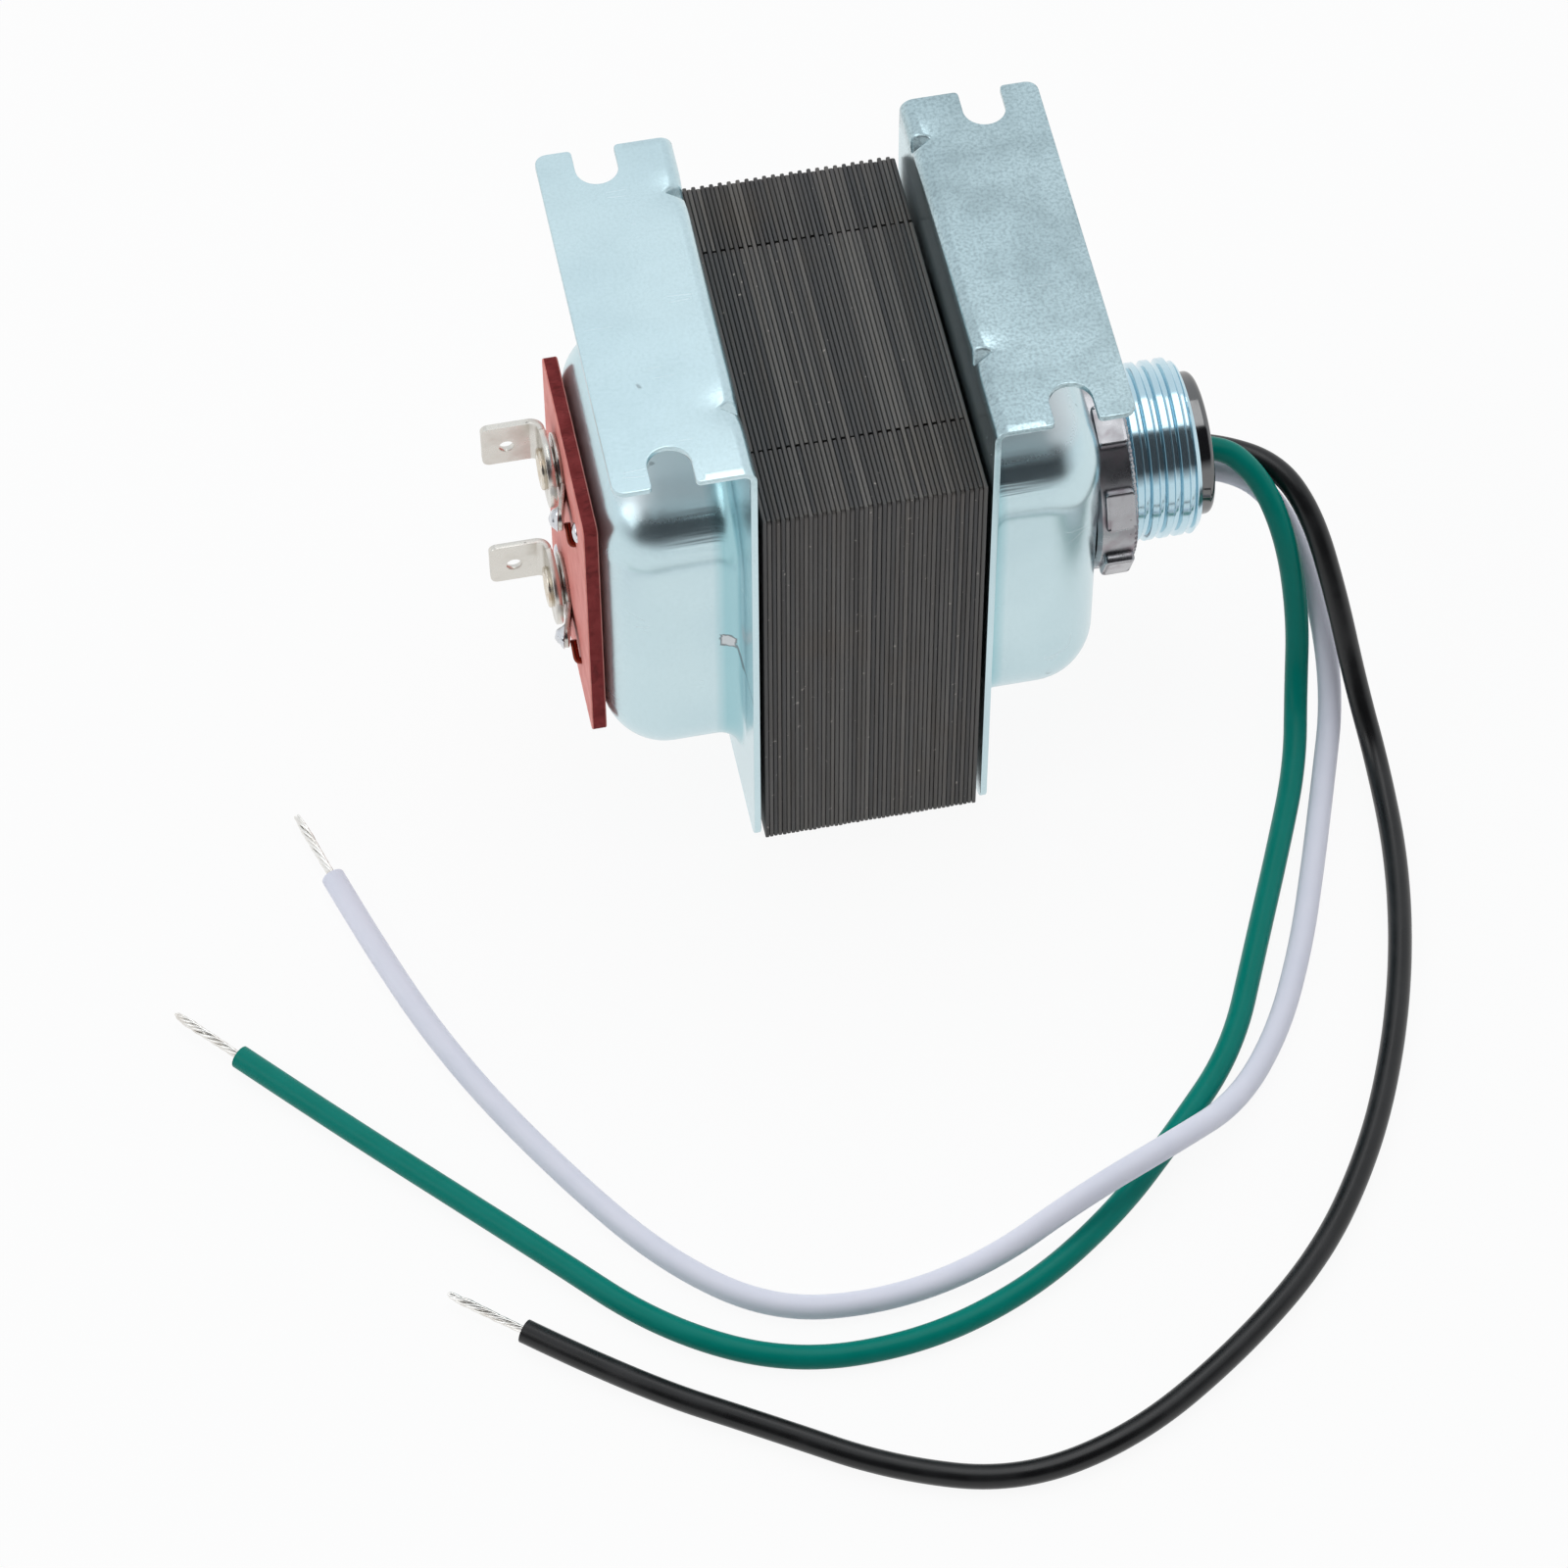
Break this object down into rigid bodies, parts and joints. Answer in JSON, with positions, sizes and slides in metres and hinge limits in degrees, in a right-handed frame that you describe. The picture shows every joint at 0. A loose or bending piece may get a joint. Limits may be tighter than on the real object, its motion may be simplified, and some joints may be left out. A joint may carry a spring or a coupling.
{
  "type": "doorbell transformer",
  "caption": "Open-frame step-down transformer with two end bells whose feet fold outward, a threaded conduit hub with lead wires, and quick-connect terminals on a red fibre board.",
  "frame": {"origin": "centre of the core's underside, which is the face that the transformer stands on with its feet up", "axes": "+Z from the core's underside up to the feet, +X along the lamination stack towards the conduit hub, +Y towards the core's rear"},
  "size_m": [0.1473, 0.1416, 0.0692],
  "materials": {
    "lamination": "varnished steel plates, satin",
    "bobbin_plastic": "moulded nylon",
    "enamelled_copper": "enamelled copper",
    "coil_tape": "polyester tape",
    "zinc_plate": "blue-white zinc plate, satin",
    "red_fibre": "vulcanised fibre, matt",
    "tinned_metal": "tin plate, satin",
    "eyelet_brass": "nickel-washed brass",
    "solder": "bright solder",
    "zinc_thread": "bright zinc plate",
    "plated_nut": "dark zinc plate",
    "black_plastic": "glossy black",
    "black_insulation": "vinyl insulation",
    "green_insulation": "vinyl insulation",
    "white_insulation": "vinyl insulation",
    "tinned_strand": "tinned copper strands",
    "splice_sleeve": "nylon sleeve"
  },
  "bodies": {
    "root": {"e_plates_front": "lamination", "i_bars_rear": "lamination", "e_plates_rear": "lamination", "i_bars_front": "lamination", "bobbin": "bobbin_plastic", "primary_winding": "enamelled_copper", "secondary_winding": "enamelled_copper", "primary_tape": "coil_tape", "secondary_tape": "coil_tape", "hub_bell": "zinc_plate", "terminal_bell": "zinc_plate", "terminal_board": "red_fibre", "board_rivets": "tinned_metal", "tab_upper": "tinned_metal", "tab_lower": "tinned_metal", "lug_upper": "tinned_metal", "lug_lower": "tinned_metal", "terminal_eyelets": "eyelet_brass", "secondary_lead_upper": "enamelled_copper", "secondary_lead_lower": "enamelled_copper", "lug_solder_upper": "solder", "lug_solder_lower": "solder", "hub_nipple": "zinc_thread", "locknut": "plated_nut", "bushing": "black_plastic", "black_wire": "black_insulation", "black_wire_end": "tinned_strand", "green_wire": "green_insulation", "green_wire_end": "tinned_strand", "white_wire": "white_insulation", "white_wire_end": "tinned_strand", "ground_strand": "tinned_strand", "ground_solder": "solder", "splice_black": "splice_sleeve", "splice_white": "splice_sleeve", "primary_lead_black": "enamelled_copper", "primary_lead_white": "enamelled_copper"}
  },
  "joints": []
}
